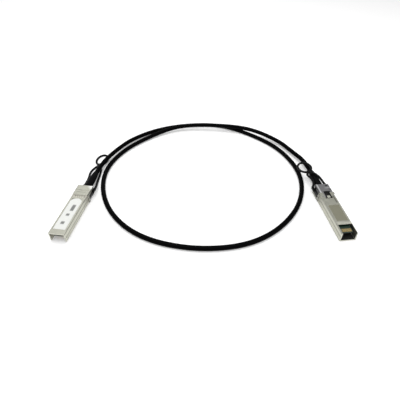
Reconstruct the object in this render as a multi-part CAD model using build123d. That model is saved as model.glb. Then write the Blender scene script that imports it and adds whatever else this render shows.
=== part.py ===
from build123d import *
from math import pi, radians, tan
import os

os.makedirs("parts", exist_ok=True)

# A direct attach copper cable: a pluggable module on each end of one twinax cable.
# Millimetres, +Z up, with the table at z = 0. The origin is on the table, midway between the plugs.
# Each plug is first modelled in its own frame: y runs from its connector end to the cable,
# z from its latch side to its label side, and x across.

# Plug shell
nose_width = 13.6
plug_height = 8.6
head_start = 47.5
head_length = 13.0
head_width = 14.2
side_wall = 0.9
top_wall = 1.1
floor_wall = 1.1
parting_height = 4.9
seam_step = 0.15
bottom_chamfer = 0.7
top_edge_radius = 0.5
head_corner_radius = 0.9
bottom_opening = 10.4
lip_length = 2.4
lip_drop = 0.5
panel_start = 14.0
panel_length = 19.0
panel_width = 9.8
panel_depth = 0.25
cavity_end = 41.0
throat_diameter = 4.6
grip_groove_place = 52.4
grip_groove_width = 1.6
grip_groove_depth = 0.2

# Label and its recess
label_start = 5.3
label_width = 10.2
label_shoulder = 38.4
label_tip = 42.2
label_thickness = 0.12
label_recess_depth = 0.2
label_margin = 0.25

# Shield gasket round the nose, with its spring fingers
gasket_start = 43.2
gasket_thickness = 0.15
gasket_recess = 0.25
gasket_foot = 0.9
finger_width = 1.3
finger_pitch = 2.0
finger_length = 3.5
finger_crown = 0.25
finger_foot = 0.3
finger_sink = 0.05
top_fingers = 5
side_fingers = 3

# Paddle card
card_end = 3.2
card_underside = 2.25
card_thickness = 1.0
card_width = 9.2
card_shoulder = 14.0
card_back = 27.0
card_side_clearance = 0.3
card_end_chamfer = 0.25
ledge_reach = 0.9
post_reach = 1.2
post_start = 19.0
post_length = 2.0
contact_count = 10
contact_pitch = 0.8
contact_width = 0.5
contact_length = 3.4
contact_thickness = 0.06
contact_setback = 0.6
chip_size = (4.4, 3.0, 0.9)
chip_place = (0.0, 18.6)
chip_chamfer = 0.15
capacitor_size = (0.5, 1.0, 0.5)
capacitor_places = (-3.2, -2.0, 2.0, 3.2)
capacitor_row = 12.0

# Twinax pairs, crimp ferrule and cable boot
pair_width = 2.0
pair_thickness = 1.1
pair_start = 23.6
pair_lead = 3.0
pair_offset = 2.4
ferrule_start = 46.2
ferrule_end = 52.0
ferrule_diameter = 5.6
ferrule_bore = 3.6
boot_flange = (9.4, 5.8)
boot_flange_start = 53.4
boot_flange_length = 1.4
boot_diameter = 6.4
boot_taper_start = 75.0
boot_end = 84.0
boot_end_diameter = 5.2
boot_shoulder = 0.6
fit_clearance = 0.05

# Latch boss, its cavity and the slider that frees it
boss_start = 42.5
boss_length = 2.5
boss_width = 2.6
boss_height = 0.45
boss_ramp = 1.1
latch_cavity_start = 41.7
latch_cavity_end = 51.2
latch_cavity_width = 6.3
latch_cavity_depth = 1.0
slide_clearance = 0.08
slider_thickness = 0.5
slider_start = 49.6
slider_overhang = 0.7
slider_travel = 2.5
tine_start = 42.6
tine_gap = 4.3
tine_slot_end = 51.0
wedge_length = 1.5
wedge_height = 0.4
rib_place = 4.4
rib_width = 0.9
rib_height = 0.35
rib_inset = 0.9
flange_thickness = 0.4
flange_start = 51.2
flange_end = 56.6
flange_height = 5.5
flange_hole_place = (54.2, 4.0)
flange_hole_radius = 0.85
side_pocket_start = 49.6
side_pocket_height = 6.2
side_pocket_depth = 1.3
lug_start = 51.6
lug_width = 2.4
lug_thickness = 0.5
lug_height = 0.5
spring_wire = 0.3
spring_height = 0.4
spring_legs = 5
spring_width = 2.6
screw_place = (4.75, 44.6)
screw_head_radius = 0.9
screw_head_depth = 0.5
screw_shank_radius = 0.5
screw_length = 5.6

# Pull ring: one moulded strap with two arms, a neck and a finger ring
strap_width = 1.8
strap_thickness = 1.6
arm_block = (0.8, 7.4, 2.8)
arm_block_start = 50.2
neck_radius = 1.7
ring_width = 11.2
ring_length = 17.2
plan_bend = 5.0
profile_bend = 4.0
strap_reach = 20.0

# The straps' routes behind the head, seen from above (x, y) and from the side (y, z).
# The left strap comes down beside the boot and its ring lies on the table, under the cable.
# The right strap goes over the cable, and its ring leans on the next turn of it.
arm_start = 58.8
left_near_plan = [(-6.8, 68.0), (-7.0, 80.0), (-8.6, 88.5), (-7.8, 96.0)]
left_far_plan = [(6.4, 66.0), (4.7, 78.0), (3.1, 89.0), (0.5, 97.0)]
left_heights = [(62.0, 4.0), (70.0, 0.9), (80.0, 0.35)]
left_neck = (-3.9, 103.35, 0.35)
left_heading = 3.0
right_near_plan = [(-7.2, 70.0), (-4.9, 78.0), (-4.6, 86.0)]
right_far_plan = [(5.8, 64.0), (4.7, 71.0), (4.6, 80.0), (0.5, 88.0)]
right_heights = [(62.0, 4.0), (73.0, 1.6), (83.0, 0.2)]
right_neck = (-4.6, 92.5, 0.0)
right_heading = -80.0
right_tilt = -13.0

# Cable
cable_diameter = 4.3
exit_run = 19.0
bend_share = 0.45

# Where the plugs lie on the table
plug_spread = 230.6
left_plug_y = -60.0
right_plug_y = -59.1
left_lean = 8.0
right_lean = 6.3

# Values that follow from those above
nose_half = nose_width / 2
head_half = head_width / 2
plug_middle = plug_height / 2
plug_length = head_start + head_length
card_back_width = nose_width - 2 * side_wall - 2 * card_side_clearance
card_top = card_underside + card_thickness
slider_recess = slider_thickness + 2 * slide_clearance
spring_start = lug_start + lug_thickness
spring_end = spring_start + 2 * slider_travel
spring_pocket_top = slider_recess + lug_height + slide_clearance
strap_rise = strap_thickness / 2
flange_outside = head_half - side_pocket_depth + slide_clearance + flange_thickness
arm_centre = flange_outside + strap_width / 2 - fit_clearance
slider_end = plug_length + slider_overhang
left_seat = boss_height
right_seat = finger_crown

# The cable's route from boot to boot, point by point. The first and last points are on the boots' ends.
on_table = cable_diameter / 2
over_height = on_table + 2 * cable_diameter
left_route = [
    (-90.5, 65.2, 4.6),
    (-78.0, 88.7, 3.0),
    (-51.5, 110.7, on_table),
    (-18.5, 121.2, on_table),
    (20.5, 121.7, on_table),
    (54.0, 101.2, on_table),
    (84.5, 69.2, on_table),
    (98.0, 22.2, on_table),
    (84.0, -26.3, on_table),
    (46.0, -63.3, on_table),
    (-4.0, -71.3, on_table),
    (-53.5, -57.8, on_table),
    (-86.5, -22.3, on_table),
    (-99.0, 26.7, on_table),
    (-85.0, 68.2, on_table),
]
right_route = [
    (-51.5, 101.2, 4.0),
    (-22.0, 114.2, 8.0),
    (21.5, 111.7, over_height),
    (55.5, 103.7, over_height),
    (84.0, 83.2, 5.0),
    (95.0, 61.7, 3.9),
]


# Each plug's own frame on the table: the left one with its label up, the right one turned over
plug_place = {
    "left": Pos(-plug_spread / 2, left_plug_y, left_seat) * Rot(0, 0, -left_lean),
    "right": Pos(plug_spread / 2, right_plug_y, right_seat + plug_height) * Rot(0, 180, -right_lean),
}


def plug_point(side, x, y, z):
    return (plug_place[side] * Pos(x, y, z)).position


def block(x0, x1, y0, y1, z0, z1):
    return Pos((x0 + x1) / 2, (y0 + y1) / 2, (z0 + z1) / 2) * Box(x1 - x0, y1 - y0, z1 - z0)


def rod(radius, y0, y1, x=0.0, z=plug_middle):
    return Pos(x, (y0 + y1) / 2, z) * Rot(90, 0, 0) * Cylinder(radius, y1 - y0)


def boot_flange_block(clearance):
    # The flange that holds the boot in the head, larger all round by the clearance
    half_width = boot_flange[0] / 2 + clearance
    half_height = boot_flange[1] / 2 + clearance
    return block(-half_width, half_width, boot_flange_start - clearance,
                 boot_flange_start + boot_flange_length + clearance,
                 plug_middle - half_height, plug_middle + half_height)


def label_outline(margin):
    half = label_width / 2 + margin
    start = label_start - margin
    outline = Polyline((half, label_shoulder), (half, start), (-half, start), (-half, label_shoulder))
    outline += ThreePointArc((-half, label_shoulder), (0, label_tip + margin), (half, label_shoulder))
    return make_face(outline)


def head_cuts():
    # Pockets in the head for the slider, its flanges and the strap's arms
    recess_half = head_half - side_pocket_depth
    pocket = block(-head_half - 1, head_half + 1, slider_start - slide_clearance,
                   plug_length + 1, -1, slider_recess)
    for side in (-1, 1):
        inner = side * recess_half
        outer = side * (head_half + 1)
        pocket += block(min(inner, outer), max(inner, outer), side_pocket_start,
                        plug_length + 1, -1, side_pocket_height)
    return pocket


def cable_cuts():
    # The cable's throat and the seat of the ferrule and of the boot's neck and flange
    cut = rod(throat_diameter / 2, cavity_end - 1, ferrule_start + 1)
    cut += rod(ferrule_diameter / 2 + fit_clearance, ferrule_start, plug_length + 1)
    return cut + boot_flange_block(fit_clearance)


def gasket_cut():
    # A shallow band round the top and sides of the nose, just ahead of the head
    band = block(-nose_half - 1, nose_half + 1, gasket_start, head_start, -1, plug_height + 1)
    inside = nose_half - gasket_recess
    return band - block(-inside, inside, gasket_start, head_start, -1, plug_height - gasket_recess)


def top_shell():
    nose = block(-nose_half, nose_half, 0, head_start, parting_height, plug_height)
    nose = fillet(nose.edges().filter_by(Axis.Y).group_by(Axis.Z)[-1], top_edge_radius)
    head = block(-head_half, head_half, head_start, plug_length, parting_height, plug_height)
    head = fillet(head.edges().filter_by(Axis.Z).group_by(Axis.Y)[-1], head_corner_radius)
    head = fillet(head.edges().filter_by(Axis.Y).group_by(Axis.Z)[-1], top_edge_radius)
    shell = nose + head
    inside = nose_half - side_wall
    shell -= block(-inside, inside, -1, cavity_end, 0, plug_height - top_wall)
    shell -= cable_cuts() + head_cuts() + gasket_cut()
    shell -= Pos(0, 0, plug_height - label_recess_depth) * extrude(label_outline(label_margin), 1)
    groove = block(-head_half - 1, head_half + 1, grip_groove_place, grip_groove_place + grip_groove_width,
                   plug_height - grip_groove_depth, plug_height + 1)
    shell -= groove
    for side in (-1, 1):
        post = block(card_back_width / 2 - post_reach, inside, post_start, post_start + post_length,
                     card_top, plug_height - top_wall)
        shell += post if side > 0 else mirror(post, Plane.YZ)
        x = side * screw_place[0]
        shell -= Pos(x, screw_place[1], screw_length / 2) * Cylinder(screw_shank_radius, screw_length)
    return shell


def bottom_shell():
    half = nose_half - seam_step
    nose = block(-half, half, 0, head_start, 0, parting_height)
    nose = chamfer(nose.edges().filter_by(Axis.Y).group_by(Axis.Z)[0], bottom_chamfer)
    head = block(-head_half, head_half, head_start, plug_length, 0, parting_height)
    head = fillet(head.edges().filter_by(Axis.Z).group_by(Axis.Y)[-1], head_corner_radius)
    shell = nose + head
    inside = nose_half - side_wall
    shell -= block(-inside, inside, bottom_opening, cavity_end, floor_wall, plug_height)
    shell -= block(-inside, inside, -1, bottom_opening, -1, plug_height)
    lip = make_face(Polyline((bottom_opening, 0), (bottom_opening, lip_drop),
                             (bottom_opening + lip_length, 0), (bottom_opening, 0)))
    shell -= Pos(-inside, 0, 0) * extrude(Plane.YZ * lip, 2 * inside)
    shell -= block(-panel_width / 2, panel_width / 2, panel_start, panel_start + panel_length,
                   -1, panel_depth)
    shell -= cable_cuts() + head_cuts() + gasket_cut()
    cavity_half = latch_cavity_width / 2
    shell -= block(-cavity_half, cavity_half, latch_cavity_start, latch_cavity_end, -1, latch_cavity_depth)
    pocket_half = spring_width / 2 + slide_clearance
    shell -= block(-pocket_half, pocket_half, lug_start - slide_clearance, spring_end, 0, spring_pocket_top)
    boss_end = boss_start + boss_length
    boss = make_face(Polyline((boss_start, latch_cavity_depth), (boss_start, 0),
                              (boss_start + boss_ramp, -boss_height), (boss_end, -boss_height),
                              (boss_end, latch_cavity_depth), (boss_start, latch_cavity_depth)))
    shell += Pos(-boss_width / 2, 0, 0) * extrude(Plane.YZ * boss, boss_width)
    for side in (-1, 1):
        ledge = block(card_back_width / 2 - ledge_reach, inside, card_shoulder + fit_clearance, card_back,
                      floor_wall, card_underside)
        shell += ledge if side > 0 else mirror(ledge, Plane.YZ)
        x = side * screw_place[0]
        bore = Cylinder(screw_shank_radius + fit_clearance, screw_length)
        sink = Cylinder(screw_head_radius + fit_clearance, screw_head_depth)
        shell -= Pos(x, screw_place[1], screw_length / 2) * bore
        shell -= Pos(x, screw_place[1], screw_head_depth / 2) * sink
    return shell


def shell_screws():
    screws = []
    for side in (-1, 1):
        place = Pos(side * screw_place[0], screw_place[1], 0)
        screw = place * Pos(0, 0, screw_length / 2) * Cylinder(screw_shank_radius, screw_length)
        head = place * Pos(0, 0, screw_head_depth / 2) * Cylinder(screw_head_radius, screw_head_depth)
        screws.append(screw + head)
    return Compound(children=screws)


def finger():
    # One arched spring finger, standing on z = 0 along y
    half = finger_length / 2
    inner_half = half - finger_foot
    top = gasket_recess - gasket_thickness + finger_crown
    outline = ThreePointArc((-half, -finger_sink), (0, top), (half, -finger_sink))
    outline += Line((half, -finger_sink), (inner_half, -finger_sink))
    outline += ThreePointArc((inner_half, -finger_sink), (0, top - gasket_thickness),
                             (-inner_half, -finger_sink))
    outline += Line((-inner_half, -finger_sink), (-half, -finger_sink))
    return Pos(-finger_width / 2, 0, 0) * extrude(Plane.YZ * make_face(outline), finger_width)


def emi_gasket():
    outer = nose_half - gasket_recess + gasket_thickness
    top = plug_height - gasket_recess + gasket_thickness
    inner = nose_half - gasket_recess
    band = block(-outer, outer, gasket_start, head_start, gasket_foot, top)
    band -= block(-inner, inner, gasket_start - 1, head_start + 1, -1, plug_height - gasket_recess)
    middle = (gasket_start + head_start) / 2
    for i in range(top_fingers):
        x = (i - (top_fingers - 1) / 2) * finger_pitch
        band += Pos(x, middle, top) * finger()
    for i in range(side_fingers):
        z = plug_middle + (i - (side_fingers - 1) / 2) * finger_pitch
        band += Pos(outer, middle, z) * Rot(0, 90, 0) * finger()
        band += Pos(-outer, middle, z) * Rot(0, -90, 0) * finger()
    return band


def paddle_card():
    nose = block(-card_width / 2, card_width / 2, card_end, card_shoulder, card_underside, card_top)
    nose = chamfer(nose.edges().filter_by(Axis.X).group_by(Axis.Y)[0], card_end_chamfer)
    back = block(-card_back_width / 2, card_back_width / 2, card_shoulder, card_back,
                 card_underside, card_top)
    return nose + back


def card_contacts():
    start = card_end + contact_setback
    pads = []
    for i in range(contact_count):
        x = (i - (contact_count - 1) / 2) * contact_pitch
        pads.append(block(x - contact_width / 2, x + contact_width / 2, start, start + contact_length,
                          card_top, card_top + contact_thickness))
        pads.append(block(x - contact_width / 2, x + contact_width / 2, start, start + contact_length,
                          card_underside - contact_thickness, card_underside))
    return Compound(children=pads)


def memory_chip():
    chip = Pos(chip_place[0], chip_place[1], card_top + chip_size[2] / 2) * Box(*chip_size)
    return chamfer(chip.edges().group_by(Axis.Z)[-1], chip_chamfer)


def coupling_capacitors():
    height = card_top + capacitor_size[2] / 2
    capacitors = [Pos(x, capacitor_row, height) * Box(*capacitor_size) for x in capacitor_places]
    return Compound(children=capacitors)


def twinax_pair(side):
    # One shielded pair from its pads on the card, above or below it, into the ferrule
    face_height = card_top if side > 0 else card_underside
    start_height = face_height + side * pair_thickness / 2
    end_height = plug_middle + side * (pair_thickness / 2 + fit_clearance)
    x = side * pair_offset
    path = Polyline((x, pair_start, start_height), (x, card_back + pair_lead, start_height),
                    (0, cavity_end - pair_lead, end_height), (0, ferrule_end - fit_clearance, end_height))
    section = Plane(origin=(x, pair_start, start_height), x_dir=(1, 0, 0), z_dir=(0, 1, 0))
    return sweep(section * SlotOverall(pair_width, pair_thickness), path, transition=Transition.RIGHT)


def crimp_ferrule():
    ring = rod(ferrule_diameter / 2, ferrule_start, ferrule_end)
    return ring - rod(ferrule_bore / 2, ferrule_start - 1, ferrule_end + 1)


def cable_boot():
    # A round sleeve: its neck fills the head, it steps up outside and tapers down to the cable
    neck = ferrule_diameter / 2
    outside = boot_diameter / 2
    outline = Polyline((0, ferrule_end), (neck, ferrule_end), (neck, plug_length),
                       (outside - boot_shoulder, plug_length), (outside, plug_length + boot_shoulder),
                       (outside, boot_taper_start), (boot_end_diameter / 2, boot_end),
                       (0, boot_end), (0, ferrule_end))
    sleeve = Pos(0, 0, plug_middle) * revolve(make_face(outline), Axis.Y)
    return sleeve + boot_flange_block(0)


def latch_slider():
    low = slide_clearance
    high = slide_clearance + slider_thickness
    half = flange_outside
    plate = block(-half, half, slider_start, slider_end, low, high)
    tongue_half = latch_cavity_width / 2 - slide_clearance
    plate += block(-tongue_half, tongue_half, tine_start, slider_start, low, high)
    plate -= block(-tine_gap / 2, tine_gap / 2, tine_start - 1, tine_slot_end, low - 1, high + 1)
    wedge = make_face(Polyline((tine_start, low), (tine_start, -wedge_height),
                               (tine_start + wedge_length, low), (tine_start, low)))
    rib = block(rib_place - rib_width / 2, rib_place + rib_width / 2, slider_start + rib_inset,
                slider_end - rib_inset, low - rib_height, low)
    rib = chamfer(rib.edges().group_by(Axis.Z)[0], rib_height / 2)
    for side in (-1, 1):
        inner = tine_gap / 2 if side > 0 else -tongue_half
        plate += Pos(inner, 0, 0) * extrude(Plane.YZ * wedge, tongue_half - tine_gap / 2)
        face = block(half - flange_thickness, half, flange_start, flange_end, low, flange_height)
        hole = Rot(0, 90, 0) * Cylinder(flange_hole_radius, 3 * flange_thickness)
        flange = face - Pos(half, *flange_hole_place) * hole
        plate += flange if side > 0 else mirror(flange, Plane.YZ)
        plate += rib if side > 0 else mirror(rib, Plane.YZ)
    lug = block(-lug_width / 2, lug_width / 2, lug_start, lug_start + lug_thickness, low, high + lug_height)
    return plate + lug


def return_spring():
    # A flat serpentine spring between the slider's lug and the end of its pocket
    pitch = (spring_end - spring_start - spring_wire) / spring_legs
    half = spring_width / 2 - spring_wire
    points = []
    for i in range(spring_legs + 1):
        side = 1 if i % 2 else -1
        points.append((side * half, spring_start + spring_wire / 2 + i * pitch))
    outline = trace(Polyline(*points), spring_wire)
    return Pos(0, 0, slider_recess + slide_clearance) * extrude(outline, spring_height)


def strap(plan, profile):
    # A strap whose centre follows a plan line (x, y) and, seen from the side, a profile line (y, z)
    from_above = trace(FilletPolyline(*plan, radius=plan_bend), strap_width)
    side_line = Plane.YZ * FilletPolyline(*profile, radius=profile_bend)
    from_side = Plane.YZ * trace(Plane.YZ.to_local_coords(side_line), strap_thickness)
    return extrude(from_above, strap_reach, both=True) & extrude(from_side, strap_reach, both=True)


def finger_ring(neck, heading, tilt):
    # The finger ring lies behind the neck, turned to its heading and tilted to the side
    reach = ring_length / 2
    outside = SlotOverall(ring_length + strap_width, ring_width + strap_width, rotation=90)
    inside = SlotOverall(ring_length - strap_width, ring_width - strap_width, rotation=90)
    ring = Pos(0, 0, -strap_rise) * extrude(outside - inside, strap_thickness)
    return Pos(*neck) * Rot(0, tilt, 0) * Rot(0, 0, heading) * Pos(0, reach, 0) * ring


def arm_grip(side):
    # The block moulded round a slider flange, with the stud that fills the flange's hole
    inner = side * flange_outside
    outer = side * (flange_outside + arm_block[0])
    grip = block(min(inner, outer), max(inner, outer), arm_block_start, arm_block_start + arm_block[1],
                 flange_hole_place[1] - arm_block[2] / 2, flange_hole_place[1] + arm_block[2] / 2)
    stud_place = Pos(side * (flange_outside - flange_thickness / 2), *flange_hole_place)
    return grip + stud_place * Rot(0, 90, 0) * Cylinder(flange_hole_radius - fit_clearance, flange_thickness)


def pull_ring(near_plan, far_plan, heights, neck, heading, tilt):
    ring = finger_ring(neck, heading, tilt)
    ring += Pos(*neck) * Cylinder(neck_radius, strap_thickness)
    profile = [(arm_start, flange_hole_place[1]), *heights, neck[1:]]
    for side, plan in ((-1, near_plan), (1, far_plan)):
        ring += strap([(side * arm_centre, arm_start), *plan, neck[:2]], profile)
        ring += arm_grip(side)
    return ring


def label():
    height = plug_height - label_recess_depth
    return Pos(0, 0, height) * extrude(label_outline(0), label_thickness)


def cable():
    start = plug_point("left", 0, boot_end, plug_middle)
    start_out = plug_point("left", 0, boot_end + exit_run, plug_middle)
    end_out = plug_point("right", 0, boot_end + exit_run, plug_middle)
    end = plug_point("right", 0, boot_end, plug_middle)
    points = [Vector(*p) for p in (start, start_out, *left_route, *right_route, end_out, end)]
    runs = [b - a for a, b in zip(points, points[1:])]
    radii = []
    for before, after in zip(runs, runs[1:]):
        half_turn = before.get_angle(after) / 2
        shorter = min(before.length, after.length)
        radii.append(bend_share * shorter / tan(radians(half_turn)))
    path = FilletPolyline(*points, radius=radii)
    section = Plane(origin=path @ 0, z_dir=path % 0)
    tube = sweep(section * Circle(cable_diameter / 2), path)
    print("cable bend radii", [round(r) for r in radii])
    print("cable runs", [round(r.length) for r in runs])
    print("cable length", round(path.length, 1), "route", [tuple(round(v, 2) for v in p) for p in points])
    print("volume over section times length", tube.volume / (pi * cable_diameter ** 2 / 4 * path.length))
    return tube


plug_pieces = {
    "top_shell": top_shell,
    "bottom_shell": bottom_shell,
    "shell_screws": shell_screws,
    "emi_gasket": emi_gasket,
    "paddle_card": paddle_card,
    "card_contacts": card_contacts,
    "memory_chip": memory_chip,
    "coupling_capacitors": coupling_capacitors,
    "transmit_pair": lambda: twinax_pair(1),
    "receive_pair": lambda: twinax_pair(-1),
    "crimp_ferrule": crimp_ferrule,
    "cable_boot": cable_boot,
    "latch_slider": latch_slider,
    "return_spring": return_spring,
}

for name, build in plug_pieces.items():
    for side in ("left", "right"):
        export_step(plug_place[side] * build(), f"parts/{side}_{name}.step")
left_ring = pull_ring(left_near_plan, left_far_plan, left_heights, left_neck, left_heading, 0.0)
right_ring = pull_ring(right_near_plan, right_far_plan, right_heights, right_neck, right_heading, right_tilt)
export_step(plug_place["left"] * left_ring, "parts/left_pull_ring.step")
export_step(plug_place["right"] * right_ring, "parts/right_pull_ring.step")
export_step(plug_place["left"] * label(), "parts/left_label.step")
export_step(cable(), "parts/cable_jacket.step")
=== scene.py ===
"""A direct attach copper cable: two pluggable modules on one twinax cable, dressed for rendering."""

import math

import bmesh
import bpy
from mathutils import Matrix, Vector


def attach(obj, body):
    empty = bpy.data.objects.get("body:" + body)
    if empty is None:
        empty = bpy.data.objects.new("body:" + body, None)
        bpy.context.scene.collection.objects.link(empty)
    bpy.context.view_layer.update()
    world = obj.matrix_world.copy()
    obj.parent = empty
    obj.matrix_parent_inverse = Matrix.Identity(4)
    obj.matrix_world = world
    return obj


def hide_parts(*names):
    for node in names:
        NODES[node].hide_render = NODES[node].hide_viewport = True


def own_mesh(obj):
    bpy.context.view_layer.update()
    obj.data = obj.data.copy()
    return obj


bl_info = {
    "name": "Direct attach cable",
    "version": (1, 0, 0),
    "blender": (4, 5, 0),
    "location": "3D View > Sidebar > Cable",
    "description": "Dresses a direct attach copper cable and its two plugs",
    "category": "Object",
}

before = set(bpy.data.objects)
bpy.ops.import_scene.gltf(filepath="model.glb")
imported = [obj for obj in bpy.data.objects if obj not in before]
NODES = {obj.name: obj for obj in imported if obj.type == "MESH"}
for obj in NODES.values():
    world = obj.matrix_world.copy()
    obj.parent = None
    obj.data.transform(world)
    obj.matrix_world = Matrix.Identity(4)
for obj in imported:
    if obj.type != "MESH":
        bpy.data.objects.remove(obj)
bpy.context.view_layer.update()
MM = 0.001
SIDES = ("left", "right")

# Each plug's own frame on the table: y runs from its connector end to the cable, z from its latch side
# to its label side. The right plug lies on its label side.
PLUG_FRAMES = {
    "left": (Matrix.Translation(Vector((-115.3, -60.0, 0.45)) * MM)
             @ Matrix.Rotation(math.radians(-8.0), 4, "Z")),
    "right": (Matrix.Translation(Vector((115.3, -59.1, 8.85)) * MM)
              @ Matrix.Rotation(math.radians(6.3), 4, "Z") @ Matrix.Rotation(math.pi, 4, "Y")),
}
LATCH_BODY = {"left": "left_latch", "right": "right_latch"}
ROOT_BODY = "cable_assembly"

# The cable's route over the table, boot to boot, in millimetres
CABLE_ROUTE = (
    (-103.61, 23.18, 4.75), (-100.97, 42.0, 4.75), (-90.5, 65.2, 4.6), (-78.0, 88.7, 3.0),
    (-51.5, 110.7, 2.15), (-18.5, 121.2, 2.15), (20.5, 121.7, 2.15), (54.0, 101.2, 2.15),
    (84.5, 69.2, 2.15), (98.0, 22.2, 2.15), (84.0, -26.3, 2.15), (46.0, -63.3, 2.15),
    (-4.0, -71.3, 2.15), (-53.5, -57.8, 2.15), (-86.5, -22.3, 2.15), (-99.0, 26.7, 2.15),
    (-85.0, 68.2, 2.15), (-51.5, 101.2, 3.0), (-22.0, 114.2, 6.0), (21.5, 111.7, 7.2),
    (55.5, 103.7, 7.2), (84.0, 83.2, 4.0), (95.0, 61.7, 3.9), (104.0, 43.28, 4.55), (106.08, 24.39, 4.55),
)

# The pull rings' middle lines in each plug's own frame, in millimetres: both arms from their grips to the
# neck, and the plan angle and slopes (across, along) of the finger ring behind the neck.
PULL_RINGS = {
    "left": {
        "near": ((-7.2, 57.4, 4.0), (-7.1, 62.0, 4.0), (-5.2, 67.0, 2.2), (-6.0, 73.5, 1.0),
                 (-6.6, 80.0, 0.5), (-8.6, 88.5, 0.48), (-7.8, 96.0, 0.48), (-3.9, 102.8, 0.48)),
        "far": ((7.2, 57.4, 4.0), (7.1, 62.0, 3.7), (6.0, 67.5, 2.3), (4.2, 74.0, 1.1), (3.1, 80.0, 0.6),
                (2.0, 88.0, 0.48), (0.0, 97.0, 0.48), (-3.9, 102.8, 0.48)),
        "neck": (-3.9, 102.8, 0.48), "heading": 3.0, "slopes": (0.0, 0.0),
    },
    "right": {
        "near": ((-7.2, 57.4, 4.0), (-7.2, 61.8, 4.0), (-5.7, 63.6, 3.4), (-4.0, 66.0, 1.8),
                 (-2.8, 69.5, 0.4), (-1.6, 74.0, 0.1), (1.2, 78.5, -0.1), (5.2, 81.0, 0.6)),
        "far": ((7.2, 57.4, 4.0), (7.2, 61.8, 4.0), (4.9, 64.8, 3.6), (4.1, 69.0, 2.2), (5.2, 74.0, 1.9),
                (7.6, 78.5, 1.5), (5.2, 81.0, 0.6)),
        "neck": (5.2, 81.0, 0.6), "heading": -4.0, "slopes": (0.24, 0.09),
    },
}
RING_WIDTH = 11.2
RING_LENGTH = 17.2
NECK_RADIUS = 1.7
# The blocks at each arm's front: the grip on the slider's flange and the arm's thick root behind it, each
# as its x, y and z limits
ARM_BLOCKS = (((6.33, 7.08), (50.2, 57.6), (2.6, 5.4)), ((6.45, 7.95), (57.2, 62.6), (2.7, 5.3)))
MOULDING_VOXEL = 0.15

# Places in a plug's own frame that its finishes follow, in millimetres. Several of them mark painted shade
# or painted highlights. A patch is the limits and the fade of its edge in x, then those in y, and a band
# is one pair of limits and its fade. The label side's darker patches and the painted highlight patches
# have a strength each.
LABEL_SIDE = 8.3
LATCH_SIDE = 0.4
FLANK_HALF = 6.6
SUNK_PANEL = (-4.9, 4.9, 0.03, 14.0, 33.0, 0.03)
# Painted shade along each side face's upper and lower edges, and the real dark seam at mid-height
SEAM_AND_EDGE_SHADE_BANDS = ((0.2, 0.8, 0.3), (7.8, 8.4, 0.3), (3.6, 4.4, 0.4))
# Darker patches on the label side, at the label's end and across the head
LABEL_SIDE_DARK_PATCHES = (((-4.6, -2.4, 0.5, 40.3, 41.5, 0.4), 1.0), ((0.4, 3.2, 0.5, 40.9, 42.0, 0.4), 1.0),
                   ((-5.0, 3.6, 0.8, 50.3, 51.5, 0.5), 0.4))
# Painted shade: a dark strip along one edge of the latch side
LATCH_SIDE_EDGE_SHADE = (-4.9, -3.7, 0.4, 35.5, 44.5, 0.6)
# Painted shade on the side faces, deepening towards the head
FLANK_SHADE_START = 36.0
FLANK_SHADE_LENGTH = 14.0
# Painted highlight towards the head's back corner on the label side
CORNER_GLINT = (3.0, 4.4, 0.9, 46.0, 47.1, 0.9)
CORNER_SHEEN_LEAN = 0.8
CORNER_SHEEN_START = 48.6
CORNER_SHEEN_LENGTH = 4.2
# Painted shade inside the mouth and in the latch cavity
MOUTH_WIDTH_BAND = (-5.85, 5.85, 0.02)
MOUTH_HEIGHT_BAND = (1.0, 7.6, 0.02)
MOUTH_DEPTH = 60.0
LATCH_CAVITY = (-3.2, 3.2, 0.04, 41.6, 51.3, 0.04)
LATCH_CAVITY_BAND = (0.1, 1.1, 0.05)
# Painted shade on the latch slider: dark slots and a dark line, painted where the mesh has no openings
SLOT_SHADE_PATCHES = ((-4.7, -2.5, 0.12, 57.9, 59.5, 0.12), (-6.1, -4.6, 0.12, 52.4, 54.3, 0.12),
                   (5.7, 6.3, 0.12, 48.0, 61.5, 0.2))
# Painted highlights on the latch slider: a bright strip along one edge and a lighter band across it
SLIDER_HIGHLIGHT_PATCHES = (((3.9, 5.0, 0.35, 47.0, 61.5, 0.5), 1.0), ((-6.0, -1.4, 0.8, 55.2, 56.4, 0.5), 0.5))
SHADOWED_BAND = (-4.0, 1.7, 0.4)
SHADOWED_END = 51.3
LABEL_BARS = ((-0.6, 2.4, 0.35, 26.6, 34.0, 0.7), (-1.5, 1.3, 0.35, 20.6, 23.2, 0.6),
              (-1.8, 1.2, 0.35, 11.0, 14.0, 0.6))

# The camera stands over the table's near side and looks down at it by CAMERA_DOWN degrees. Each lamp has
# its name, its place and size in metres, and its share of the key light's power.
CAMERA_PLACE = (-2.6, -242.3, 208.7)
CAMERA_DOWN = 41.21
CAMERA_LENS = 30.934
CAMERA_SHIFT = -0.0113
SENSOR_WIDTH = 36.0
SKY_STRENGTH = 0.42
FLOOR_GLOW = 0.25
FLOOR_HALF = 3.0
LAMPS = (("key", (-0.1, 0.0, 1.0), 1.1, 1.0), ("fill", (0.8, -0.7, 0.5), 0.6, 0.12),
         ("back", (-0.3, 1.0, 0.7), 0.6, 0.12))


def in_plug(side, x, y, z):
    """The place on the table, in metres, of a point in a plug's own frame."""
    return PLUG_FRAMES[side] @ (Vector((x, y, z)) * MM)


def add_line(curve, points, closed=False):
    """Adds a smooth line that follows some control points, in metres."""
    spline = curve.splines.new("NURBS")
    spline.points.add(len(points) - 1)
    for point, place in zip(spline.points, points):
        point.co = (*place, 1.0)
    spline.order_u = 3
    spline.use_cyclic_u = closed
    spline.use_endpoint_u = not closed
    return spline


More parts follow.
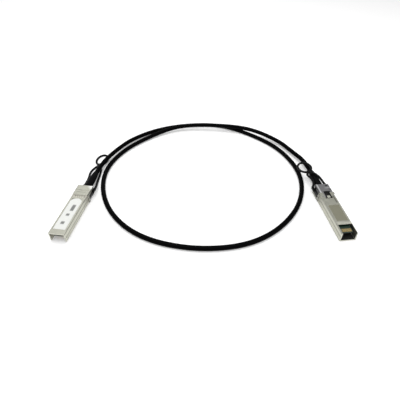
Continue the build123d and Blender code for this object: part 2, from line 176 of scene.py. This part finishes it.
class Socket:
    """A node socket that builds Math nodes from Python's arithmetic."""

    def __init__(self, shader, link):
        self.shader = shader
        self.link = link

    def maths(self, operation, *values):
        return self.shader.node("ShaderNodeMath", {"operation": operation}, dict(enumerate(values)))

    def __add__(self, other):
        return self.maths("ADD", self, other)

    __radd__ = __add__

    def __sub__(self, other):
        return self.maths("SUBTRACT", self, other)

    def __rsub__(self, other):
        return self.maths("SUBTRACT", other, self)

    def __mul__(self, other):
        return self.maths("MULTIPLY", self, other)

    __rmul__ = __mul__

    def __truediv__(self, other):
        return self.maths("DIVIDE", self, other)

    def __pow__(self, other):
        return self.maths("POWER", self, other)

    def __gt__(self, other):
        return self.maths("GREATER_THAN", self, other)

    def __lt__(self, other):
        return self.maths("LESS_THAN", self, other)

    def clamped(self):
        return self.shader.node("ShaderNodeClamp", {}, {"Value": self})

    def between(self, low, high, soft):
        """One between low and high and nothing outside, with each end faded by soft either way."""
        up = ((self - (low - soft)) / (2 * soft)).clamped()
        down = (((high + soft) - self) / (2 * soft)).clamped()
        return up * down


class Shader:
    """A material and the nodes that make its finish."""

    def __init__(self, name):
        self.material = bpy.data.materials.new(name)
        self.material.use_nodes = True
        self.tree = self.material.node_tree
        self.tree.nodes.clear()
        self.surface = self.tree.nodes.new("ShaderNodeBsdfPrincipled")
        output = self.tree.nodes.new("ShaderNodeOutputMaterial")
        self.tree.links.new(self.surface.outputs["BSDF"], output.inputs["Surface"])
        self.shared = {}

    def node(self, kind, settings, inputs, output=0):
        """Adds a node with its settings and its sockets' values or links."""
        made = self.tree.nodes.new(kind)
        for key, value in settings.items():
            setattr(made, key, value)
        for key, value in inputs.items():
            self.feed(made.inputs[key], value)
        return Socket(self, made.outputs[output])

    def feed(self, socket, value):
        if isinstance(value, Socket):
            self.tree.links.new(value.link, socket)
        elif socket.type == "RGBA" and len(value) == 3:
            socket.default_value = (*value, 1.0)
        else:
            socket.default_value = value

    def set(self, **values):
        for key, value in values.items():
            self.feed(self.surface.inputs[key.replace("_", " ")], value)

    def place(self):
        """The point on the piece, in millimetres of the row frame."""
        if "place" not in self.shared:
            spot = self.node("ShaderNodeTexCoord", {}, {}, "Object")
            self.shared["place"] = self.node("ShaderNodeVectorMath", {"operation": "SCALE"},
                                             {0: spot, 3: 1 / MM})
        return self.shared["place"]

    def plug_place(self, side):
        """The point's x, y and z in the plug's own frame, in millimetres."""
        turned = []
        for row in PLUG_FRAMES[side].inverted()[:3]:
            along = self.node("ShaderNodeVectorMath", {"operation": "DOT_PRODUCT"},
                              {0: self.place(), 1: tuple(row[:3])}, "Value")
            turned.append(along + row[3] / MM)
        return turned

    def noise(self, scale, detail=3.0, roughness=0.5, at=None, stretch=None):
        at = at or self.place()
        if stretch:
            at = self.node("ShaderNodeVectorMath", {"operation": "MULTIPLY"}, {0: at, 1: stretch})
        return self.node("ShaderNodeTexNoise", {}, {"Vector": at, "Scale": scale, "Detail": detail,
                                                    "Roughness": roughness}, "Fac")

    def mix(self, amount, first, second):
        """first where amount is nothing, second where it is one."""
        return self.node("ShaderNodeMix", {"data_type": "RGBA"}, {0: amount, 6: first, 7: second}, 2)

    def bump(self, height, strength=0.3, distance=0.1):
        normal = self.node("ShaderNodeBump", {},
                           {"Height": height, "Strength": strength, "Distance": distance * MM})
        self.set(Normal=normal)

    def edges(self, radius=0.25):
        """One on edges, nothing on flats."""
        rounded = self.node("ShaderNodeBevel", {"samples": 6}, {"Radius": radius * MM}, "Normal")
        flat = self.node("ShaderNodeNewGeometry", {}, {}, "Normal")
        alike = self.node("ShaderNodeVectorMath", {"operation": "DOT_PRODUCT"},
                          {0: rounded, 1: flat}, "Value")
        return ((1.0 - alike) * 6.0).clamped()


def patch(x, y, limits):
    """One inside a patch of a plug's face, fading at its edge."""
    return x.between(*limits[:3]) * y.between(*limits[3:])


def patches(x, y, spots):
    """The sum of some patches, each at its own strength."""
    return sum(patch(x, y, limits) * strength for limits, strength in spots)


def paint(shader, *names):
    """Gives CAD pieces a finish in place of the one they came with."""
    for name in names:
        slots = NODES[name].material_slots
        if not slots:
            NODES[name].data.materials.append(shader.material)
        for slot in slots:
            slot.link = "OBJECT"
            slot.material = shader.material


class CableSettings(bpy.types.PropertyGroup):
    diameter: bpy.props.FloatProperty(name="Diameter", description="Outside of the cable's jacket",
                                      default=4.3 * MM, subtype="DISTANCE", unit="LENGTH")
    jacket_colour: bpy.props.FloatVectorProperty(name="Jacket", description="Colour of the cable's jacket",
                                                 default=(0.0006, 0.0006, 0.0008), subtype="COLOR")


class PlugSettings(bpy.types.PropertyGroup):
    plate_colour: bpy.props.FloatVectorProperty(name="Plating", description="Colour of the shells' plating",
                                                default=(0.53, 0.53, 0.455), subtype="COLOR")
    boot_colour: bpy.props.FloatVectorProperty(name="Boot", description="Colour of the boots and pull rings",
                                               default=(0.0025, 0.0025, 0.0028), subtype="COLOR")
    strap_width: bpy.props.FloatProperty(name="Strap width", description="Width of the pull rings' straps",
                                         default=2.1 * MM, subtype="DISTANCE", unit="LENGTH")
    strap_thickness: bpy.props.FloatProperty(name="Strap thickness", description="Thickness of the straps",
                                             default=1.8 * MM, subtype="DISTANCE", unit="LENGTH")
    label_colour: bpy.props.FloatVectorProperty(name="Label", description="Colour of the label's paper",
                                                default=(0.82, 0.83, 0.80), subtype="COLOR")


class StageSettings(bpy.types.PropertyGroup):
    floor_colour: bpy.props.FloatVectorProperty(name="Floor", description="Colour of the floor",
                                                default=(0.9, 0.9, 0.9), subtype="COLOR")
    light_power: bpy.props.FloatProperty(name="Key light", description="Power of the large overhead light",
                                         default=9.0, unit="POWER")


class CABLE_OT_jacket(bpy.types.Operator):
    """Lays the cable from boot to boot along its route"""

    bl_idname = "cable.jacket"
    bl_label = "Cable"

    def execute(self, context):
        settings = context.scene.cable_settings
        line = bpy.data.curves.new("cable", "CURVE")
        line.dimensions = "3D"
        spline = add_line(line, [Vector(place) * MM for place in CABLE_ROUTE])
        spline.resolution_u = 14
        line.bevel_depth = settings.diameter / 2
        line.bevel_resolution = 8
        cable = bpy.data.objects.new("cable", line)
        context.collection.objects.link(cable)

        finish = Shader("extruded_jacket")
        grain = finish.noise(2.4, 4.0, 0.6)
        scuff = finish.noise(0.12, 3.0, 0.6)
        finish.set(Base_Color=finish.mix(scuff, settings.jacket_colour, (0.0015, 0.0015, 0.0018)),
                   Roughness=0.36 + grain * 0.16, Specular_IOR_Level=0.025)
        finish.bump(grain, 0.12, 0.05)
        cable.data.materials.append(finish.material)
        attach(cable, ROOT_BODY)
        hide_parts("cable_jacket")
        return {"FINISHED"}


class CABLE_OT_shells(bpy.types.Operator):
    """Gives the die-cast shells and their screws their plated finish, with painted shade and painted
    highlights on the shells
    """

    bl_idname = "cable.shells"
    bl_label = "Shells"

    def execute(self, context):
        plate = context.scene.plug_settings.plate_colour
        for side in SIDES:
            finish = Shader(f"{side}_nickel_plate")
            cloud = finish.noise(0.35, 4.0, 0.6)
            grain = finish.noise(5.0, 2.0, 0.5)
            worn = finish.edges(0.3)
            colour = finish.mix(cloud, tuple(0.86 * c for c in plate),
                                tuple(min(1.0, 1.1 * c) for c in plate))
            x, y, z = finish.plug_place(side)
            label_side, latch_side = z > LABEL_SIDE, z < LATCH_SIDE
            colour = finish.mix(patch(x, y, SUNK_PANEL) * latch_side, colour, (0.385, 0.375, 0.285))
            colour = finish.mix(worn, colour, (0.80, 0.80, 0.74))

            # Painted shade on the side faces and along a latch side edge, with the real seam and the label
            # side's dark patches
            flank = (x * x) > FLANK_HALF ** 2
            seam_and_edge_shade = sum(z.between(*band) for band in SEAM_AND_EDGE_SHADE_BANDS)
            shade_toward_head = ((y - FLANK_SHADE_START) / FLANK_SHADE_LENGTH).clamped()
            dark_patches = patches(x, y, LABEL_SIDE_DARK_PATCHES) * label_side
            dark_patches = dark_patches + patch(x, y, LATCH_SIDE_EDGE_SHADE) * latch_side
            shade_and_dark_patches = flank * (seam_and_edge_shade * 0.65 + shade_toward_head * 0.5) + dark_patches * 0.7
            colour = finish.mix(shade_and_dark_patches.clamped(), colour, (0.10, 0.10, 0.085))

            # Painted highlight towards the head's back corner on the label side
            sheen = ((x + y * CORNER_SHEEN_LEAN - CORNER_SHEEN_START) / CORNER_SHEEN_LENGTH).clamped() ** 1.5
            corner = (sheen + patch(x, y, CORNER_GLINT)).clamped()
            colour = finish.mix(corner * label_side, colour, (0.98, 0.98, 0.95))

            # Painted shade inside the mouth and the latch cavity, darker and less metallic
            inside = x.between(*MOUTH_WIDTH_BAND) * z.between(*MOUTH_HEIGHT_BAND) * (y < MOUTH_DEPTH)
            cavity = patch(x, y, LATCH_CAVITY) * z.between(*LATCH_CAVITY_BAND)
            recess_shade = (inside + cavity).clamped()
            colour = finish.mix(recess_shade, colour, (0.012, 0.012, 0.011))
            finish.set(Base_Color=colour, Metallic=1.0 - recess_shade * 0.5,
                       Roughness=0.30 + cloud * 0.14 + grain * 0.06 + recess_shade * 0.4)
            finish.bump(grain, 0.15, 0.05)
            paint(finish, f"{side}_top_shell", f"{side}_bottom_shell")
            steel = Shader(f"{side}_screw_steel")
            steel.set(Base_Color=steel.mix(steel.noise(1.5), (0.36, 0.36, 0.34), (0.5, 0.5, 0.48)),
                      Metallic=1.0, Roughness=0.35)
            paint(steel, f"{side}_shell_screws")
        return {"FINISHED"}


def compressing_spring(side, wire):
    """A copy of a return spring in the spring wire's finish, hung on the cable's root body in place of the
    solid one.
    """
    solid = NODES[f"{side}_return_spring"]
    spring = solid.copy()
    spring.data = solid.data.copy()
    spring.name = f"{side}_latch_spring"
    bpy.context.collection.objects.link(spring)
    spring.data.materials.clear()
    spring.data.materials.append(wire.material)
    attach(spring, ROOT_BODY)
    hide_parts(f"{side}_return_spring")
    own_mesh(spring)


class CABLE_OT_springs(bpy.types.Operator):
    """Finishes the shield gaskets, latch sliders and return springs, with painted shade and painted
    highlights on the sliders
    """

    bl_idname = "cable.springs"
    bl_label = "Sprung metal"

    def execute(self, context):
        strip = Shader("gasket_strip")
        tone = strip.noise(0.8, 3.0)
        strip.set(Base_Color=strip.mix(tone, (0.40, 0.39, 0.33), (0.54, 0.53, 0.47)), Metallic=1.0,
                  Roughness=0.42 + tone * 0.15)
        wire = Shader("spring_wire")
        wire.set(Base_Color=wire.mix(wire.noise(2.0), (0.5, 0.5, 0.5), (0.65, 0.65, 0.65)), Metallic=1.0,
                 Roughness=0.25)
        for side in SIDES:
            stamped = Shader(f"{side}_stamped_steel")
            lines = stamped.noise(3.0, 3.0, 0.6, stretch=(1.0, 0.15, 1.0))
            x, y = stamped.plug_place(side)[:2]
            colour = stamped.mix(lines, (0.27, 0.265, 0.275), (0.38, 0.375, 0.385))
            # Painted shade of slots and a gap on the latch slider
            slot_shade = sum(patch(x, y, limits) for limits in SLOT_SHADE_PATCHES).clamped()
            colour = stamped.mix(slot_shade * 0.9, colour, (0.05, 0.05, 0.05))
            # Painted highlights on the latch slider
            slider_highlight = patches(x, y, SLIDER_HIGHLIGHT_PATCHES).clamped()
            colour = stamped.mix(slider_highlight, colour, (0.90, 0.90, 0.90))
            shadowed = x.between(*SHADOWED_BAND) * (y < SHADOWED_END)
            colour = stamped.mix(shadowed, colour, (0.008, 0.008, 0.008))
            stamped.set(Base_Color=colour, Metallic=1.0 - shadowed * 0.5,
                        Roughness=0.28 + lines * 0.15 + shadowed * 0.4)
            stamped.bump(lines, 0.1, 0.03)
            paint(strip, f"{side}_emi_gasket")
            paint(stamped, f"{side}_latch_slider")
            compressing_spring(side, wire)
        return {"FINISHED"}


class CABLE_OT_cards(bpy.types.Operator):
    """Finishes the paddle cards, what is on them, and the wires behind them"""

    bl_idname = "cable.cards"
    bl_label = "Paddle cards"

    def execute(self, context):
        mask = Shader("solder_mask")
        weave = mask.noise(3.0, 2.0)
        mask.set(Base_Color=mask.mix(weave, (0.004, 0.016, 0.010), (0.008, 0.028, 0.016)), Roughness=0.3)
        gold = Shader("gold_plate")
        gold.set(Base_Color=gold.mix(gold.noise(2.0), (0.85, 0.62, 0.25), (0.95, 0.75, 0.36)), Metallic=1.0,
                 Roughness=0.25)
        chip = Shader("chip_moulding")
        speck = chip.noise(8.0, 2.0)
        chip.set(Base_Color=chip.mix(speck, (0.015, 0.015, 0.016), (0.03, 0.03, 0.032)), Roughness=0.55)
        ceramic = Shader("capacitor_ceramic")
        ceramic.set(Base_Color=ceramic.mix(ceramic.noise(3.0), (0.42, 0.29, 0.17), (0.55, 0.41, 0.27)),
                    Roughness=0.45)
        foil = Shader("pair_foil")
        crease = foil.noise(1.6, 4.0, 0.65)
        foil.set(Base_Color=foil.mix(crease, (0.62, 0.63, 0.65), (0.8, 0.81, 0.83)), Metallic=1.0,
                 Roughness=0.25 + crease * 0.2)
        foil.bump(crease, 0.3, 0.08)
        crimp = Shader("crimped_brass")
        crimp.set(Base_Color=crimp.mix(crimp.noise(1.2), (0.5, 0.42, 0.24), (0.66, 0.56, 0.35)),
                  Metallic=1.0, Roughness=0.32)
        for side in SIDES:
            paint(mask, f"{side}_paddle_card")
            paint(gold, f"{side}_card_contacts")
            paint(chip, f"{side}_memory_chip")
            paint(ceramic, f"{side}_coupling_capacitors")
            paint(foil, f"{side}_transmit_pair", f"{side}_receive_pair")
            paint(crimp, f"{side}_crimp_ferrule")
        return {"FINISHED"}


class CABLE_OT_mouldings(bpy.types.Operator):
    """Finishes the black boots"""

    bl_idname = "cable.mouldings"
    bl_label = "Boots"

    def execute(self, context):
        black = context.scene.plug_settings.boot_colour
        boot = Shader("boot_moulding")
        grain = boot.noise(4.0, 4.0, 0.6)
        boot.set(Base_Color=boot.mix(grain, black, (0.004, 0.004, 0.0043)), Roughness=0.42 + grain * 0.2,
                 Specular_IOR_Level=0.04)
        boot.bump(grain, 0.2, 0.06)
        paint(boot, *(f"{side}_cable_boot" for side in SIDES))
        return {"FINISHED"}


def finger_ring(neck, heading, slopes):
    """The control points of the finger ring's oval middle line, turned and tipped behind its neck."""
    half_width, half_length = RING_WIDTH / 2, RING_LENGTH / 2
    narrow, straight = 0.3 * half_width, half_length - 0.8 * half_width
    front = [(half_width, straight), (narrow, half_length), (-narrow, half_length), (-half_width, straight)]
    corners = front + [(-across, -along) for across, along in front]
    turn = Matrix.Rotation(math.radians(heading), 3, "Z")
    points = []
    for across, along in corners:
        place = turn @ Vector((across, along + half_length, 0.0))
        rise = slopes[0] * place.x + slopes[1] * place.y
        points.append((neck[0] + place.x, neck[1] + place.y, neck[2] + rise))
    return points


def strap_section(width, thickness):
    """The straps' rounded cross-section, as a closed curve."""
    outline = bpy.data.curves.new("strap_section", "CURVE")
    outline.dimensions = "2D"
    corners = ((1, 0.55), (0.6, 1), (-0.6, 1), (-1, 0.55), (-1, -0.55), (-0.6, -1), (0.6, -1), (1, -0.55))
    add_line(outline, [(across * width / 2, up * thickness / 2, 0.0) for across, up in corners], closed=True)
    section = bpy.data.objects.new("strap_section", outline)
    bpy.context.collection.objects.link(section)
    return section


def strap_line(side, lines, section):
    """A moulded strap along each line of control points, all as one mesh."""
    path = bpy.data.curves.new("strap_line", "CURVE")
    path.dimensions = "3D"
    path.twist_mode = "Z_UP"
    path.bevel_mode = "OBJECT"
    path.bevel_object = section
    path.use_fill_caps = True
    for points, closed in lines:
        spline = add_line(path, [in_plug(side, *place) for place in points], closed)
        spline.resolution_u = 10
    holder = bpy.data.objects.new("strap_line", path)
    bpy.context.collection.objects.link(holder)
    shown = holder.evaluated_get(bpy.context.evaluated_depsgraph_get())
    mesh = bpy.data.meshes.new_from_object(shown)
    bpy.data.objects.remove(holder)
    return mesh


def add_neck_and_blocks(mesh, side, neck, thickness):
    """Adds the round pad where the arms meet, and each arm's grip and thick root."""
    shape = bmesh.new()
    shape.from_mesh(mesh)
    bmesh.ops.create_cone(shape, cap_ends=True, segments=32, radius1=NECK_RADIUS * MM,
                          radius2=NECK_RADIUS * MM, depth=thickness,
                          matrix=Matrix.Translation(in_plug(side, *neck)))
    turn = PLUG_FRAMES[side].to_3x3().to_4x4()
    for hand in (-1, 1):
        for limits in ARM_BLOCKS:
            middle = [(low + high) / 2 for low, high in limits]
            size = Matrix.Diagonal((*((high - low) * MM for low, high in limits), 1.0))
            spot = Matrix.Translation(in_plug(side, hand * middle[0], *middle[1:]))
            bmesh.ops.create_cube(shape, size=1.0, matrix=spot @ turn @ size)
    shape.to_mesh(mesh)
    shape.free()


class CABLE_OT_pull_rings(bpy.types.Operator):
    """Moulds each pull ring as one soft piece: two grips, two arms, a neck and a finger ring"""

    bl_idname = "cable.pull_rings"
    bl_label = "Pull rings"

    def execute(self, context):
        settings = context.scene.plug_settings
        strap = Shader("strap_moulding")
        soft = strap.noise(1.5, 3.0, 0.5)
        strap.set(Base_Color=strap.mix(soft, settings.boot_colour, (0.004, 0.004, 0.0044)),
                  Roughness=0.3 + soft * 0.15, Specular_IOR_Level=0.08)
        section = strap_section(settings.strap_width, settings.strap_thickness)
        for side in SIDES:
            parts = PULL_RINGS[side]
            ring = finger_ring(parts["neck"], parts["heading"], parts["slopes"])
            mesh = strap_line(side, [(parts["near"], False), (parts["far"], False), (ring, True)], section)
            add_neck_and_blocks(mesh, side, parts["neck"], settings.strap_thickness)
            piece = bpy.data.objects.new(f"{side}_pull_ring_moulding", mesh)
            context.collection.objects.link(piece)
            fused = piece.modifiers.new("fused", "REMESH")
            fused.mode = "VOXEL"
            fused.voxel_size = MOULDING_VOXEL * MM
            fused.use_smooth_shade = True
            eased = piece.modifiers.new("eased", "SMOOTH")
            eased.factor = 0.5
            eased.iterations = 3
            mesh.materials.clear()
            mesh.materials.append(strap.material)
            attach(piece, LATCH_BODY[side])
            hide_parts(f"{side}_pull_ring")
        bpy.data.objects.remove(section)
        return {"FINISHED"}


class CABLE_OT_label(bpy.types.Operator):
    """Finishes the left plug's blank label with a few soft grey bars"""

    bl_idname = "cable.label"
    bl_label = "Label"

    def execute(self, context):
        paper = context.scene.plug_settings.label_colour
        finish = Shader("label_paper")
        x, y = finish.plug_place("left")[:2]
        bars = sum(patch(x, y, limits) for limits in LABEL_BARS).clamped()
        tone = finish.noise(0.5, 3.0)
        colour = finish.mix(tone, tuple(0.93 * c for c in paper), tuple(paper))
        colour = finish.mix(bars * 0.9, colour, (0.13, 0.135, 0.13))
        finish.set(Base_Color=colour, Roughness=0.38)
        paint(finish, "left_label")
        return {"FINISHED"}


class CABLE_OT_stage(bpy.types.Operator):
    """Sets out the floor, the lights and the camera"""

    bl_idname = "cable.stage"
    bl_label = "Stage"

    def execute(self, context):
        settings = context.scene.stage_settings
        mesh = bpy.data.meshes.new("floor")
        shape = bmesh.new()
        bmesh.ops.create_grid(shape, x_segments=4, y_segments=4, size=FLOOR_HALF)
        shape.to_mesh(mesh)
        shape.free()
        floor = bpy.data.objects.new("floor", mesh)
        context.collection.objects.link(floor)
        ground = Shader("floor_paper")
        ground.set(Base_Color=tuple(settings.floor_colour), Roughness=0.9, Specular_IOR_Level=0.1,
                   Emission_Color=(1.0, 1.0, 1.0), Emission_Strength=FLOOR_GLOW)
        floor.data.materials.append(ground.material)

        world = bpy.data.worlds.new("studio")
        world.use_nodes = True
        sky = world.node_tree.nodes["Background"]
        sky.inputs["Color"].default_value = (1.0, 1.0, 1.0, 1.0)
        sky.inputs["Strength"].default_value = SKY_STRENGTH
        context.scene.world = world
        for name, place, size, share in LAMPS:
            lamp = bpy.data.lights.new(name, "AREA")
            lamp.energy = settings.light_power * share
            lamp.size = size
            light = bpy.data.objects.new(name, lamp)
            light.location = place
            light.rotation_euler = (-Vector(place)).to_track_quat("-Z", "Y").to_euler()
            context.collection.objects.link(light)

        lens = bpy.data.cameras.new("camera")
        lens.sensor_width = SENSOR_WIDTH
        lens.lens = CAMERA_LENS
        lens.shift_y = CAMERA_SHIFT
        lens.clip_start = 0.01
        lens.clip_end = 20.0
        camera = bpy.data.objects.new("camera", lens)
        camera.location = Vector(CAMERA_PLACE) * MM
        camera.rotation_euler = (math.radians(90 - CAMERA_DOWN), 0.0, 0.0)
        context.collection.objects.link(camera)
        context.scene.camera = camera
        context.scene.view_settings.view_transform = "Standard"
        return {"FINISHED"}


class CABLE_PT_panel(bpy.types.Panel):
    """Lists the steps that dress the cable"""

    bl_idname = "CABLE_PT_panel"
    bl_label = "Direct attach cable"
    bl_space_type = "VIEW_3D"
    bl_region_type = "UI"
    bl_category = "Cable"

    def draw(self, context):
        for owner in ("cable_settings", "plug_settings", "stage_settings"):
            group = getattr(context.scene, owner)
            for name in group.__annotations__:
                self.layout.prop(group, name)
        for step in STEPS:
            self.layout.operator(step.bl_idname)


STEPS = (CABLE_OT_jacket, CABLE_OT_shells, CABLE_OT_springs, CABLE_OT_cards, CABLE_OT_mouldings,
         CABLE_OT_pull_rings, CABLE_OT_label, CABLE_OT_stage)
CLASSES = (CableSettings, PlugSettings, StageSettings, *STEPS, CABLE_PT_panel)


def register():
    for item in CLASSES:
        bpy.utils.register_class(item)
    bpy.types.Scene.cable_settings = bpy.props.PointerProperty(type=CableSettings)
    bpy.types.Scene.plug_settings = bpy.props.PointerProperty(type=PlugSettings)
    bpy.types.Scene.stage_settings = bpy.props.PointerProperty(type=StageSettings)


def unregister():
    del bpy.types.Scene.cable_settings
    del bpy.types.Scene.plug_settings
    del bpy.types.Scene.stage_settings
    for item in reversed(CLASSES):
        bpy.utils.unregister_class(item)


def main():
    register()
    for step in STEPS:
        group, name = step.bl_idname.split(".")
        getattr(getattr(bpy.ops, group), name)()


if __name__ == "__main__":
    main()
